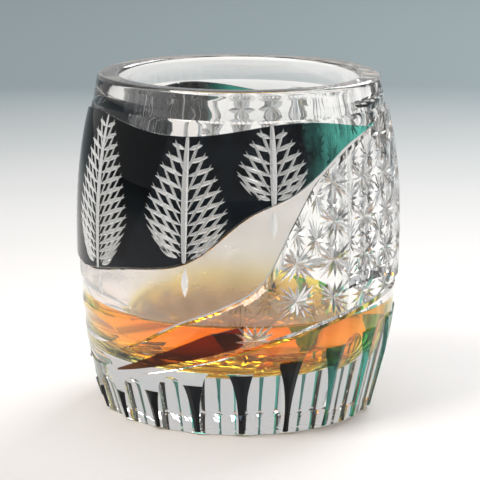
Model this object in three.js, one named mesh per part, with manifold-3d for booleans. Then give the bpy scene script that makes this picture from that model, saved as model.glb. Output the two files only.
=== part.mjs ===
// A heavy hand-cut cup of cased crystal, 64 mm tall: a clear barrel-shaped body and the thin
// islands of dark glass that are left standing on it after the cutting. Millimetres, +Z up,
// origin at the centre of the foot. Azimuth is in degrees: 0 faces -Y and 90 faces +X.

import * as THREE from "three";
import * as BufferGeometryUtils from "three/addons/utils/BufferGeometryUtils.js";
import Module from "manifold-3d";

const wasm = await Module();
wasm.setup();

// Barrel: the radius over the casing, largest at the belly and smaller towards foot and rim.
const HEIGHT = 63.9;
const BELLY_RADIUS = 31.0;
const BELLY_HEIGHT = 34.0;
const FOOT_DROP = 4.5;
const SHOULDER_DROP = 2.2;
const SHOULDER_SPAN = 22.2;
const BARREL_POWER = 2.35;
const FOOT_CHAMFER = 0.8;

// Rim band: the plain ring above the casing.
const RIM_BAND_HEIGHT = 58.8;
const RIM_BAND_RADIUS = 27.6;
const RIM_RADIUS = 26.9;
const RIM_ROUND = 0.9;
const RIM_INNER_RADIUS = 22.7;

// Cup: the inside, from the floor up.
const FLOOR_HEIGHT = 11.0;
const FLOOR_RADIUS = 15.5;
const CUP_CORNER = 5.5;
const CUP_LOW_RADIUS = 21.2;

// Casing: the layer of dark glass and the seat it lies in.
const CASING = 0.3;
const SEAT = 0.45;
const CASING_TOP = 57.1;
const CASING_TOP_WAVE = 1.2;
const WAVES_A_TURN = 4;

// Turns and rows of the surface mesh.
const SEGMENTS = 60;
const DEGREES_A_SEGMENT = 360 / SEGMENTS;
const WELD = 0.001;
const BARREL_ROWS = 8;

// Picture: the mountain's two slopes mirror each other about its axis, and so do the sky's lower
// edges. Each line is [degrees from the axis, height].
const MOUNTAIN_AZIMUTH = 110;
const SLOPE = [
  [45, 57.5],
  [51, 56.2],
  [68, 52.6],
  [82, 47.2],
  [91, 39.6],
  [101, 29.8],
  [115, 25.0],
  [131, 21.5],
  [150, 16.4],
  [170, 13.2],
  [180, 12.9],
];
const SKY_EDGE = [
  [51, 56.3],
  [68, 53.3],
  [82, 48.4],
  [91, 45.4],
  [107, 41.6],
  [123, 34.6],
  [133, 32.2],
  [155, 30.4],
  [170, 29.1],
  [180, 28.8],
];
const SKY_START = 51;
const SLOPE_START = 49;
const SLOPE_END = 175;

// River: the long mitre cut above the flutes. It and the flutes' tops are highest here.
const WATERLINE_AZIMUTH = 85;
const RIVER_START = -55;
const RIVER_END = 275;
const RIVER_MEAN = 15.7;
const RIVER_RISE = 9.0;
const RIVER_HALF_WIDTH = 1.2;
const RIVER_DEPTH = 0.9;
const BLUNT = 0.4;
const SLOPE_HALF_WIDTH = 0.8;
const SLOPE_DEPTH = 0.9;

// Waves: three broad hollows on the side away from the mountain, [angle, height] from their
// narrow end to the middle of the plain side.
const WAVES = [
  { line: [[133, 21.8], [160, 22.8], [180, 23.6]], halfWidth: 2.9 },
  { line: [[149, 17.6], [165, 17.4], [180, 17.2]], halfWidth: 3.0 },
  { line: [[160, 11.7], [170, 11.3], [180, 11.0]], halfWidth: 1.6 },
];
const WAVE_DEPTH = 0.5;

// Star field: a grid of stars on the mountain.
const STAR_COLUMN = 14.4;
const STAR_ROW = 7.1;
const STAR_FIRST_ROW = 19.0;
const STAR_ROWS = 6;
const STAR_COLUMNS = 15;
const STAR_FIRST_COLUMN = 5.8;
const STAR_RADIUS = 3.4;
const STAR_DEPTH = 0.75;
const STAR_STAND = 0.25;
const STAR_WAIST = 0.35;
const STAR_POINTS = 6;
const STAR_MARGIN_TOP = 2.4;
const STAR_MARGIN_LOW = 0.6;
const FIELD_END = 108;

// Flutes around the foot, higher under the mountain.
const FLUTES = 20;
const FLUTE_PITCH = 360 / FLUTES;
const RIDGE_AZIMUTH = 1.8;
const FLUTE_MEAN = 12.2;
const FLUTE_RISE = 7.5;
const FLUTE_WHEEL = 12.0;
const FLUTE_CUT = 0.62;
const RIDGE_HALF_ANGLE = 4.5;
const RIDGE_FOOT = 0.5;
const RIDGE_TOP_DROP = 0.8;

// Lens: the narrow dark island above the river on each side.
const LENS_START = 112;
const LENS_END = 160;
const LENS_GROW_END = 121;
const LENS_WIDTH = 4.0;
const LENS_TIP_WIDTH = 0.35;

// Trees: a trunk and the pairs of strokes on it.
const TREE_AZIMUTHS = [12, -18.3, -57, -95, -124, -152];
const TREE_TRUNK_TOP = 0.5;
const TREE_TRUNK_FOOT = 4.0;
const TREE_STROKES = 3;
const TREE_STROKE_RISE = 3.2;
const TREE_SPREAD = 13;
const TREE_GROOVE = 0.2;
const TREE_STROKE_HALF_WIDTH = 0.6;
const TREE_TRUNK_HALF_WIDTH = 0.8;

const CLEAR = { color: 0xe9eeee, roughness: 0.03, metalness: 0.0 };
const DARK = { color: 0x0c1a18, roughness: 0.05, metalness: 0.0 };

// ---- shape of the barrel ----

function barrelRadius(z) {
  const low = z < BELLY_HEIGHT;
  const span = low ? BELLY_HEIGHT : SHOULDER_SPAN;
  const drop = low ? FOOT_DROP : SHOULDER_DROP;
  return BELLY_RADIUS - drop * Math.pow(Math.abs(z - BELLY_HEIGHT) / span, BARREL_POWER);
}

// A point `out` millimetres outside the barrel, at an azimuth and a height.
function onBarrel(azimuth, z, out) {
  const angle = THREE.MathUtils.degToRad(azimuth);
  const radius = barrelRadius(z) + out;
  return new THREE.Vector3(radius * Math.sin(angle), -radius * Math.cos(angle), z);
}

// Straight lines between [x, y] points, read at x.
function along(points, x) {
  const last = points.length - 1;
  const clamped = THREE.MathUtils.clamp(x, points[0][0], points[last][0]);
  const i = Math.max(1, points.findIndex((point) => point[0] >= clamped));
  const [x0, y0] = points[i - 1];
  const [x1, y1] = points[i];
  return THREE.MathUtils.mapLinear(clamped, x0, x1, y0, y1);
}

function fromMountain(azimuth) {
  const turned = THREE.MathUtils.euclideanModulo(azimuth - MOUNTAIN_AZIMUTH, 360);
  return Math.min(turned, 360 - turned);
}

const slopeHeight = (azimuth) => along(SLOPE, fromMountain(azimuth));
const skyEdgeHeight = (azimuth) => along(SKY_EDGE, fromMountain(azimuth));

function cosineLine(mean, rise, azimuth) {
  return mean + rise * Math.cos(THREE.MathUtils.degToRad(azimuth - WATERLINE_AZIMUTH));
}

const riverHeight = (azimuth) => cosineLine(RIVER_MEAN, RIVER_RISE, azimuth);
const fluteHeight = (azimuth) => cosineLine(FLUTE_MEAN, FLUTE_RISE, azimuth);

function casingTopHeight(azimuth) {
  return CASING_TOP + CASING_TOP_WAVE * Math.sin(THREE.MathUtils.degToRad(WAVES_A_TURN * azimuth));
}

// ---- solids ----

function toManifold(geometry) {
  const bare = geometry.clone();
  bare.deleteAttribute("normal");
  bare.deleteAttribute("uv");
  const merged = BufferGeometryUtils.mergeVertices(bare, 1e-4);
  const mesh = new wasm.Mesh({
    numProp: 3,
    vertProperties: new Float32Array(merged.attributes.position.array),
    triVerts: new Uint32Array(merged.index.array),
  });
  return new wasm.Manifold(mesh);
}

function toGeometry(solid) {
  const mesh = solid.getMesh();
  const geometry = new THREE.BufferGeometry();
  geometry.setAttribute("position", new THREE.BufferAttribute(mesh.vertProperties, 3));
  geometry.setIndex(new THREE.BufferAttribute(mesh.triVerts, 1));
  return welded(geometry);
}

// Joins corners that lie closer than WELD and drops the faces that this flattens.
function welded(geometry) {
  const joined = BufferGeometryUtils.mergeVertices(geometry, WELD);
  const corners = Array.from(joined.index.array);
  const faces = new Map();
  for (let i = 0; i < corners.length; i += 3) {
    const face = corners.slice(i, i + 3);
    const key = [...face].sort((a, b) => a - b).join(" ");
    const isFlat = new Set(face).size < 3;
    const isFolded = faces.delete(key);
    if (!isFlat && !isFolded) faces.set(key, face);
  }
  joined.setIndex([...faces.values()].flat());
  return joined;
}

// Moves every vertex of a geometry by a function of its position.
function reshape(geometry, move) {
  const position = geometry.attributes.position;
  const point = new THREE.Vector3();
  for (let i = 0; i < position.count; i += 1) {
    point.fromBufferAttribute(position, i);
    const moved = move(point);
    position.setXYZ(i, moved.x, moved.y, moved.z);
  }
  return geometry;
}

// A curved plate on the barrel between two azimuths, two heights that may follow the azimuth,
// and two distances from the barrel's surface.
function plate({ from, to, low, high, inner, outer, rows }) {
  const columns = Math.max(2, Math.round((to - from) / DEGREES_A_SEGMENT));
  const box = new THREE.BoxGeometry(1, 1, 1, columns, 1, rows);
  return toManifold(
    reshape(box, (unit) => {
      const azimuth = THREE.MathUtils.lerp(from, to, unit.x + 0.5);
      const z = THREE.MathUtils.lerp(low(azimuth), high(azimuth), unit.z + 0.5);
      const out = THREE.MathUtils.lerp(outer, inner, unit.y + 0.5);
      return onBarrel(azimuth, z, out);
    }),
  );
}

// A groove cutter along a line on the barrel: its section is a flattened ring of `sides`
// corners, with one corner pointing straight in.
function grooveCutter({ line, from, to, halfWidth, depth, steps, sides = 4 }) {
  const rod = new THREE.CylinderGeometry(1, 1, 1, sides, steps);
  return toManifold(
    reshape(rod, (unit) => {
      const t = unit.y + 0.5;
      const middle = line(THREE.MathUtils.lerp(from, to, t));
      const before = line(THREE.MathUtils.lerp(from, to, t - 0.01));
      const after = line(THREE.MathUtils.lerp(from, to, t + 0.01));
      const degree = THREE.MathUtils.degToRad(barrelRadius(middle[1]));
      const direction = new THREE.Vector2((after[0] - before[0]) * degree, after[1] - before[1]);
      direction.normalize();
      const across = unit.x * halfWidth(t);
      const azimuth = middle[0] + (direction.y * across) / degree;
      const z = middle[1] - direction.x * across;
      return onBarrel(azimuth, z, unit.z * depth(t));
    }),
  );
}

function subtractAll(solid, cutters) {
  return cutters.reduce((left, cutter) => left.subtract(cutter), solid);
}

// Widths and depths along a groove, from 0 at its start to 1 at its end.
const GROOVE_TIP = 0.08;
const steady = (value) => () => value;

function tapered(value, bluntness = 1) {
  return (t) => {
    const swell = Math.sin(Math.PI * THREE.MathUtils.clamp(t, 0, 1));
    return value * THREE.MathUtils.lerp(GROOVE_TIP, 1, Math.pow(Math.max(swell, 0), bluntness));
  };
}

// ---- crystal body ----

function outerProfile() {
  const points = [new THREE.Vector2(barrelRadius(0) - SEAT - FOOT_CHAMFER, 0)];
  for (let i = 0; i <= BARREL_ROWS; i += 1) {
    const z = THREE.MathUtils.lerp(FOOT_CHAMFER, RIM_BAND_HEIGHT - 0.5, i / BARREL_ROWS);
    points.push(new THREE.Vector2(barrelRadius(z) - SEAT, z));
  }
  points.push(new THREE.Vector2(RIM_BAND_RADIUS, RIM_BAND_HEIGHT));
  return points;
}

function rimProfile() {
  return [
    new THREE.Vector2(RIM_RADIUS, HEIGHT - RIM_ROUND),
    new THREE.Vector2(RIM_RADIUS - 0.3 * RIM_ROUND, HEIGHT - 0.3 * RIM_ROUND),
    new THREE.Vector2(RIM_RADIUS - RIM_ROUND, HEIGHT),
    new THREE.Vector2(RIM_INNER_RADIUS + RIM_ROUND, HEIGHT),
    new THREE.Vector2(RIM_INNER_RADIUS + 0.3 * RIM_ROUND, HEIGHT - 0.3 * RIM_ROUND),
    new THREE.Vector2(RIM_INNER_RADIUS, HEIGHT - RIM_ROUND),
  ];
}

function cupProfile() {
  const corner = FLOOR_HEIGHT + CUP_CORNER;
  return [
    new THREE.Vector2(THREE.MathUtils.lerp(CUP_LOW_RADIUS, RIM_INNER_RADIUS, 0.6), 42),
    new THREE.Vector2(THREE.MathUtils.lerp(CUP_LOW_RADIUS, RIM_INNER_RADIUS, 0.2), 24),
    new THREE.Vector2(CUP_LOW_RADIUS, corner),
    new THREE.Vector2(CUP_LOW_RADIUS - 0.13 * CUP_CORNER, corner - 0.5 * CUP_CORNER),
    new THREE.Vector2(CUP_LOW_RADIUS - 0.5 * CUP_CORNER, corner - 0.87 * CUP_CORNER),
    new THREE.Vector2(FLOOR_RADIUS, FLOOR_HEIGHT),
    new THREE.Vector2(0, FLOOR_HEIGHT),
  ];
}

// LatheGeometry turns its profile about Y, so the solid is stood up with azimuth 0 on -Y.
function turned(profile) {
  const lathe = new THREE.LatheGeometry(profile, SEGMENTS);
  lathe.rotateX(Math.PI / 2);
  return toManifold(lathe);
}

function blank() {
  const profile = [new THREE.Vector2(0, 0), ...outerProfile(), ...rimProfile(), ...cupProfile()];
  return turned(profile);
}

// The mountain stands out of the body as high as the casing does.
function mountain() {
  return plate({
    from: MOUNTAIN_AZIMUTH - FIELD_END,
    to: MOUNTAIN_AZIMUTH + FIELD_END,
    low: (azimuth) => riverHeight(azimuth),
    high: (azimuth) => Math.min(slopeHeight(azimuth), RIM_BAND_HEIGHT - 1),
    inner: -2,
    outer: 0,
    rows: 5,
  });
}

function slopeGrooves() {
  const line = (side) => (angle) => {
    const azimuth = MOUNTAIN_AZIMUTH + side * angle;
    return [azimuth, slopeHeight(azimuth)];
  };
  return [-1, 1].map((side) =>
    grooveCutter({
      line: line(side),
      from: SLOPE_START,
      to: SLOPE_END,
      halfWidth: tapered(SLOPE_HALF_WIDTH),
      depth: steady(SLOPE_DEPTH),
      steps: 20,
    }),
  );
}

function riverGroove() {
  return grooveCutter({
    line: (azimuth) => [azimuth, riverHeight(azimuth)],
    from: RIVER_START,
    to: RIVER_END,
    halfWidth: tapered(RIVER_HALF_WIDTH, BLUNT),
    depth: steady(RIVER_DEPTH),
    steps: 40,
  });
}

function waveHollows() {
  const farSide = MOUNTAIN_AZIMUTH - 180;
  return WAVES.map(({ line, halfWidth }) => {
    const reach = 180 - line[0][0];
    return grooveCutter({
      line: (azimuth) => [azimuth, along(line, fromMountain(azimuth))],
      from: farSide - reach,
      to: farSide + reach,
      halfWidth: tapered(halfWidth),
      depth: (t) => SEAT + tapered(WAVE_DEPTH)(t),
      steps: 12,
      sides: 6,
    });
  });
}

// One star: a pyramid with a star-shaped base outside the barrel and its point inside.
function starCutter(azimuth, z) {
  const height = STAR_DEPTH + STAR_STAND;
  const cone = new THREE.ConeGeometry(1, height, 2 * STAR_POINTS);
  reshape(cone, (corner) => {
    const turn = Math.atan2(corner.x, corner.z) / (Math.PI / STAR_POINTS);
    const isWaist = Math.abs(Math.round(turn)) % 2 === 1;
    const reach = isWaist ? STAR_WAIST * STAR_RADIUS : STAR_RADIUS;
    return corner.set(corner.x * reach, -corner.y, -corner.z * reach);
  });
  const centre = onBarrel(azimuth, z, 0.5 * (STAR_STAND - STAR_DEPTH));
  const outward = onBarrel(azimuth, z, 10).sub(centre).normalize();
  const turn = new THREE.Quaternion().setFromUnitVectors(new THREE.Vector3(0, 1, 0), outward);
  cone.applyQuaternion(turn);
  cone.translate(centre.x, centre.y, centre.z);
  return toManifold(cone);
}

function starCutters() {
  const cutters = [];
  for (let column = 0; column < STAR_COLUMNS; column += 1) {
    const azimuth = STAR_FIRST_COLUMN + column * STAR_COLUMN;
    for (let row = 0; row < STAR_ROWS; row += 1) {
      const z = STAR_FIRST_ROW + row * STAR_ROW;
      const isBelowSlope = z < slopeHeight(azimuth) - STAR_MARGIN_TOP;
      const isAboveRiver = z > riverHeight(azimuth) + STAR_MARGIN_LOW;
      if (isBelowSlope && isAboveRiver) cutters.push(starCutter(azimuth, z));
    }
  }
  return cutters;
}

// One flute: a round wheel's cut, leaning with the barrel and ending in an arch.
function fluteCutter(azimuth, clearance = 0) {
  const top = fluteHeight(azimuth);
  const archDepth = FLUTE_WHEEL - Math.sqrt(2 * FLUTE_WHEEL * FLUTE_CUT);
  const high = onBarrel(azimuth, top - (FLUTE_WHEEL - archDepth), FLUTE_WHEEL - FLUTE_CUT);
  const low = onBarrel(azimuth, -2, FLUTE_WHEEL - FLUTE_CUT);
  const axis = high.clone().sub(low);
  const length = axis.length();
  const capsule = new THREE.CapsuleGeometry(FLUTE_WHEEL + clearance, length, 5, 28);
  const turn = new THREE.Quaternion();
  turn.setFromUnitVectors(new THREE.Vector3(0, 1, 0), axis.normalize());
  const middle = low.add(high).multiplyScalar(0.5);
  capsule.applyQuaternion(turn);
  capsule.translate(middle.x, middle.y, middle.z);
  return toManifold(capsule);
}

function ridgeAzimuths() {
  return Array.from({ length: FLUTES }, (_, i) => RIDGE_AZIMUTH + i * FLUTE_PITCH);
}

function crystalBody(flutes) {
  const cutters = [
    ...slopeGrooves(),
    riverGroove(),
    ...waveHollows(),
    ...starCutters(),
    ...flutes,
  ];
  return subtractAll(blank().add(mountain()), cutters);
}

// ---- casing ----

function treeStrokes(azimuth) {
  const foot = skyEdgeHeight(azimuth) + TREE_TRUNK_FOOT;
  const top = casingTopHeight(azimuth) - TREE_TRUNK_TOP;
  const pitch = (top - foot) / TREE_STROKES;
  const strokes = [
    grooveCutter({
      line: (z) => [azimuth, z],
      from: foot - 2.5,
      to: top,
      halfWidth: (t) => TREE_TRUNK_HALF_WIDTH * (1 - 0.5 * t),
      depth: steady(TREE_GROOVE),
      steps: 3,
    }),
  ];
  for (let i = 0; i < TREE_STROKES; i += 1) {
    const start = foot + i * pitch;
    const share = Math.sin(Math.PI * (0.12 + 0.76 * (i + 0.6) / TREE_STROKES));
    for (const side of [-1, 1]) {
      strokes.push(treeStroke(azimuth, start, side * TREE_SPREAD * share));
    }
  }
  return strokes;
}

// One stroke, outwards and upwards from the trunk.
function treeStroke(azimuth, start, spread) {
  const line = (t) => [azimuth + spread * t, start + TREE_STROKE_RISE * t];
  const ends = spread > 0 ? { from: 0.14, to: 1 } : { from: 1, to: 0.14 };
  return grooveCutter({
    line,
    ...ends,
    halfWidth: tapered(TREE_STROKE_HALF_WIDTH),
    depth: steady(TREE_GROOVE),
    steps: 2,
  });
}

function casingSky() {
  const panel = plate({
    from: MOUNTAIN_AZIMUTH + SKY_START,
    to: MOUNTAIN_AZIMUTH + 360 - SKY_START,
    low: (azimuth) => skyEdgeHeight(azimuth),
    high: (azimuth) => Math.max(casingTopHeight(azimuth), skyEdgeHeight(azimuth) + 0.4),
    inner: -CASING,
    outer: 0,
    rows: 5,
  });
  return subtractAll(panel, TREE_AZIMUTHS.flatMap(treeStrokes));
}

function casingLens(side) {
  const ends = [MOUNTAIN_AZIMUTH + side * LENS_START, MOUNTAIN_AZIMUTH + side * LENS_END];
  const low = (azimuth) => riverHeight(azimuth) + RIVER_HALF_WIDTH;
  const width = (azimuth) => {
    const angle = Math.abs(azimuth - MOUNTAIN_AZIMUTH);
    const share = (LENS_END - angle) / (LENS_END - LENS_GROW_END);
    return THREE.MathUtils.lerp(LENS_TIP_WIDTH, LENS_WIDTH, Math.min(1, share));
  };
  return plate({
    from: Math.min(...ends),
    to: Math.max(...ends),
    low,
    high: (azimuth) => low(azimuth) + width(azimuth),
    inner: -CASING,
    outer: 0,
    rows: 1,
  });
}

// The casing left on one ridge, between the flutes on its two sides.
function casingRidge(azimuth, leftFlute, rightFlute) {
  const strip = plate({
    from: azimuth - RIDGE_HALF_ANGLE,
    to: azimuth + RIDGE_HALF_ANGLE,
    low: steady(RIDGE_FOOT),
    high: steady(fluteHeight(azimuth) - RIDGE_TOP_DROP),
    inner: -CASING,
    outer: 0,
    rows: 2,
  });
  return strip.subtract(leftFlute).subtract(rightFlute);
}

// ---- the object ----

function addPiece(group, name, solid, look) {
  const mesh = new THREE.Mesh(toGeometry(solid), new THREE.MeshStandardMaterial(look));
  mesh.name = name;
  group.add(mesh);
}

function buildCup() {
  const group = new THREE.Group();
  const ridges = ridgeAzimuths();
  const flutes = ridges.map((azimuth) => fluteCutter(azimuth + FLUTE_PITCH / 2));
  addPiece(group, "crystal_body", crystalBody(flutes), CLEAR);
  addPiece(group, "casing_sky", casingSky(), DARK);
  addPiece(group, "casing_lens_front", casingLens(-1), DARK);
  addPiece(group, "casing_lens_back", casingLens(1), DARK);
  ridges.forEach((azimuth, i) => {
    const left = flutes[(i + FLUTES - 1) % FLUTES];
    const name = `casing_ridge_${String(i + 1).padStart(2, "0")}`;
    addPiece(group, name, casingRidge(azimuth, left, flutes[i]), DARK);
  });
  return group;
}

export default buildCup();
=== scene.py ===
"""A heavy shot glass of cased crystal: clear body, dark casing cut away to hills and trees.

Laid out as an add-on: sizes and colours are properties, each piece has its operator, and a
panel in the 3D view's sidebar lists them. Lengths are metres; azimuth 0 faces -Y, 90 faces +X.
"""

import math

import bpy
from mathutils import Matrix, Vector


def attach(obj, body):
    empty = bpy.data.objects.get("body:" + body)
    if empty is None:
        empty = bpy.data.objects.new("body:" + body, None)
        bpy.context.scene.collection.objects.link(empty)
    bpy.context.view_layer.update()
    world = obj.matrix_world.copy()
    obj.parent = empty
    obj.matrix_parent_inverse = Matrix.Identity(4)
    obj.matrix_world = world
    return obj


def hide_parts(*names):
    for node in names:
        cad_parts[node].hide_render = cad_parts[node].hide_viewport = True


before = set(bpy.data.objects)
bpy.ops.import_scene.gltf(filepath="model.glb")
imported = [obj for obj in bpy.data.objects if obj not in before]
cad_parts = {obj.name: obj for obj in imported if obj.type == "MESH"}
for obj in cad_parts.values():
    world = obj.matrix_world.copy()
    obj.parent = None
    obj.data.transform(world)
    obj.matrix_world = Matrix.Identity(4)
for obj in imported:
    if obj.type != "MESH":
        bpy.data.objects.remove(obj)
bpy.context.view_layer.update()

bl_info = {
    "name": "Cut crystal cup",
    "version": (1, 0, 0),
    "blender": (4, 5, 0),
    "location": "View3D > Sidebar > Cup",
    "description": "Builds a hand-cut cased crystal cup, its drink and a small studio",
    "category": "Add Mesh",
}

MM = 0.001
BODY = "root"

# ---- the barrel and the picture cut into it, much as in the solid model ----

HEIGHT = 63.9 * MM
BELLY_RADIUS = 31.0 * MM
BELLY_HEIGHT = 34.0 * MM
FOOT_DROP = 4.5 * MM
SHOULDER_DROP = 2.2 * MM
SHOULDER_SPAN = 22.2 * MM
BARREL_POWER = 2.35
SEAT = 0.45 * MM

MOUNTAIN_AZIMUTH = 110.0
# The mountain's edge and the sky's, as (degrees from the mountain, height in millimetres).
SLOPE = ((45, 57.5), (51, 56.2), (68, 52.6), (82, 47.2), (91, 39.6), (101, 29.8), (115, 25.0),
         (131, 21.5), (150, 16.4), (170, 13.2), (180, 12.9))
SKY_EDGE = ((51, 56.3), (68, 53.3), (82, 48.4), (91, 45.4), (107, 41.6), (123, 34.6),
            (133, 32.2), (155, 30.4), (170, 29.1), (180, 28.8))
SKY_START = 51.0
SKY_THINNEST = 0.4 * MM
SLOPE_START = 49.0
SLOPE_END = 176.0
CASING_TOP = 57.1 * MM
CASING_TOP_WAVE = 1.2 * MM
WAVES_A_TURN = 4

WATERLINE_AZIMUTH = 85.0
RIVER_MEAN = 15.7 * MM
RIVER_RISE = 9.0 * MM
RIVER_ENDS = (-55.0, 275.0)
FLUTES = 20
FLUTE_PITCH = 360.0 / FLUTES
RIDGE_AZIMUTH = 1.8
FLUTE_MEAN = 12.2 * MM
FLUTE_RISE = 7.5 * MM

STAR_COLUMNS = 15
STAR_FIRST_COLUMN = 5.8
STAR_COLUMN = 14.4
STAR_ROWS = 6
STAR_FIRST_ROW = 19.0 * MM
STAR_ROW = 7.1 * MM
FIELD_HALF_ANGLE = 108.0

# Broad hollows opposite the mountain, each as its points (degrees from the mountain, height)
# and its half width, in millimetres.
WAVES = (
    (((133, 21.8), (160, 22.8), (180, 23.6)), 2.9),
    (((149, 17.6), (165, 17.4), (180, 17.2)), 3.0),
    (((160, 11.7), (170, 11.3), (180, 11.0)), 1.6),
)
LENS_START = 108.0
LENS_END = 160.0
LENS_GROW_END = 121.0
LENS_WIDTH = 4.0 * MM
LENS_TIP_WIDTH = 0.35 * MM
RIVER_HALF_WIDTH = 1.2 * MM
RIVER_DEPTH = 0.95 * MM
RIVER_BLUNTNESS = 0.35
SLOPE_HALF_WIDTH = 0.95 * MM
SLOPE_DEPTH = 0.9 * MM
SLOPE_BLUNTNESS = 0.5
SKY_EDGE_HALF_WIDTH = 0.5 * MM
SKY_EDGE_DEPTH = 0.62 * MM
SKY_EDGE_BLUNTNESS = 0.2
WAVE_DEPTH = SEAT + 0.5 * MM
WAVE_BLUNTNESS = 0.7
RIDGE_HALF_ANGLE = 4.5
RIDGE_FOOT = 0.5 * MM
RIDGE_TOP_DROP = 0.8 * MM

# Each tree: azimuth, and the half width of its foliage in millimetres.
TREES = ((12.0, 6.7), (-18.3, 8.2), (-57.0, 8.8), (-95.0, 8.4), (-124.0, 8.0), (-152.0, 6.7))

CAMERA_PLACE = Vector((0.0, -0.40557, 0.11999))
CAMERA_TILT = 77.67
CAMERA_ROLL = 0.27
CAMERA_LENS = 161.6
CAMERA_SHIFT = (0.0038, -0.0008)
CAMERA_SENSOR = 36.0
CAMERA_CLIP = 0.01


def barrel_radius(z):
    low = z < BELLY_HEIGHT
    span = BELLY_HEIGHT if low else SHOULDER_SPAN
    drop = FOOT_DROP if low else SHOULDER_DROP
    return BELLY_RADIUS - drop * (abs(z - BELLY_HEIGHT) / span) ** BARREL_POWER


def on_barrel(azimuth, z, out):
    """The point `out` above the barrel's surface at an azimuth and a height."""
    angle = math.radians(azimuth)
    radius = barrel_radius(z) + out
    return Vector((radius * math.sin(angle), -radius * math.cos(angle), z))


def smooth_along(points, x):
    """A smooth curve through (x, y) points, read at x: a cubic with the points' own slopes."""
    last = len(points) - 1
    x = min(max(x, points[0][0]), points[last][0])
    i = next(n for n in range(1, last + 1) if points[n][0] >= x)
    (x0, y0), (x1, y1) = points[i - 1], points[i]
    t = (x - x0) / (x1 - x0)
    step = x1 - x0

    def slope(n):
        a, b = points[max(n - 1, 0)], points[min(n + 1, last)]
        return (b[1] - a[1]) / (b[0] - a[0])

    m0, m1 = slope(i - 1) * step, slope(i) * step
    return ((2 * t**3 - 3 * t**2 + 1) * y0 + (t**3 - 2 * t**2 + t) * m0
            + (3 * t**2 - 2 * t**3) * y1 + (t**3 - t**2) * m1)


def from_mountain(azimuth):
    away = (azimuth - MOUNTAIN_AZIMUTH) % 360
    return min(away, 360 - away)


def slope_height(azimuth):
    return smooth_along(SLOPE, from_mountain(azimuth)) * MM


def sky_edge_height(azimuth):
    return smooth_along(SKY_EDGE, from_mountain(azimuth)) * MM


def cosine_line(mean, rise, azimuth):
    return mean + rise * math.cos(math.radians(azimuth - WATERLINE_AZIMUTH))


def river_height(azimuth):
    return cosine_line(RIVER_MEAN, RIVER_RISE, azimuth)


def flute_height(azimuth):
    return cosine_line(FLUTE_MEAN, FLUTE_RISE, azimuth)


def casing_top_height(azimuth):
    return CASING_TOP + CASING_TOP_WAVE * math.sin(math.radians(WAVES_A_TURN * azimuth))


def degree_length(z):
    """The length of one degree round the barrel at a height."""
    return math.radians(barrel_radius(z))


# ---- working as by hand ----


def deselect_all():
    if bpy.context.object and bpy.context.object.mode != "OBJECT":
        bpy.ops.object.mode_set(mode="OBJECT")
    bpy.ops.object.select_all(action="DESELECT")


def take(*objects):
    """Selects these objects alone and makes the first one active."""
    deselect_all()
    for piece in objects:
        piece.select_set(True)
    bpy.context.view_layer.objects.active = objects[0]


def edit_all(piece):
    take(piece)
    bpy.ops.object.mode_set(mode="EDIT")
    bpy.ops.mesh.select_all(action="SELECT")


def end_edit():
    bpy.ops.object.mode_set(mode="OBJECT")


def move_points(piece, place):
    for vertex in piece.data.vertices:
        vertex.co = place(vertex.co)
    piece.data.update()


def tidy_solid(piece):
    """Merges doubles and turns every face outwards."""
    edit_all(piece)
    bpy.ops.mesh.remove_doubles(threshold=1e-6)
    bpy.ops.mesh.normals_make_consistent(inside=False)
    end_edit()


def remove(*objects):
    for piece in objects:
        mesh = piece.data
        bpy.data.objects.remove(piece)
        bpy.data.meshes.remove(mesh)


def combine(target, other, operation):
    """Joins another solid to the target, or cuts it out, and removes the other."""
    modifier = target.modifiers.new("Solid", "BOOLEAN")
    modifier.solver = "MANIFOLD"
    modifier.operation = operation
    modifier.material_mode = "TRANSFER"
    modifier.object = other
    take(target)
    bpy.ops.object.modifier_apply(modifier=modifier.name)
    remove(other)


def cut(target, *tools):
    for tool in tools:
        combine(target, tool, "DIFFERENCE")


def drop_axis_edge(piece):
    """Deletes an edge that lies on the axis, which would spin into nothing."""
    edit_all(piece)
    bpy.ops.mesh.select_mode(type="EDGE")
    bpy.ops.mesh.select_all(action="DESELECT")
    end_edit()
    points = piece.data.vertices
    for edge in piece.data.edges:
        edge.select = all(abs(points[i].co.x) < 1e-9 for i in edge.vertices)
    bpy.ops.object.mode_set(mode="EDIT")
    bpy.ops.mesh.delete(type="EDGE")
    bpy.ops.mesh.select_mode(type="VERT")
    end_edit()


def keep_largest(piece):
    """Keeps the largest shell, not the crumbs of glass that crossing cuts leave."""
    name = piece.name
    edit_all(piece)
    bpy.ops.mesh.separate(type="LOOSE")
    end_edit()
    parts = sorted(bpy.context.selected_objects, key=lambda part: len(part.data.polygons))
    remove(*parts[:-1])
    kept = parts[-1]
    kept.name = kept.data.name = name
    return kept


def turned(name, profile, steps):
    """Spins a profile of (radius, height) points about Z into a solid."""
    deselect_all()
    bpy.ops.mesh.primitive_circle_add(vertices=len(profile), radius=1.0)
    piece = bpy.context.object
    piece.name = piece.data.name = name
    for vertex, (radius, height) in zip(piece.data.vertices, profile):
        vertex.co = (radius, 0.0, height)
    drop_axis_edge(piece)
    edit_all(piece)
    bpy.ops.mesh.spin(steps=steps, angle=math.tau, center=(0, 0, 0), axis=(0, 0, 1))
    end_edit()
    tidy_solid(piece)
    return piece


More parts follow.
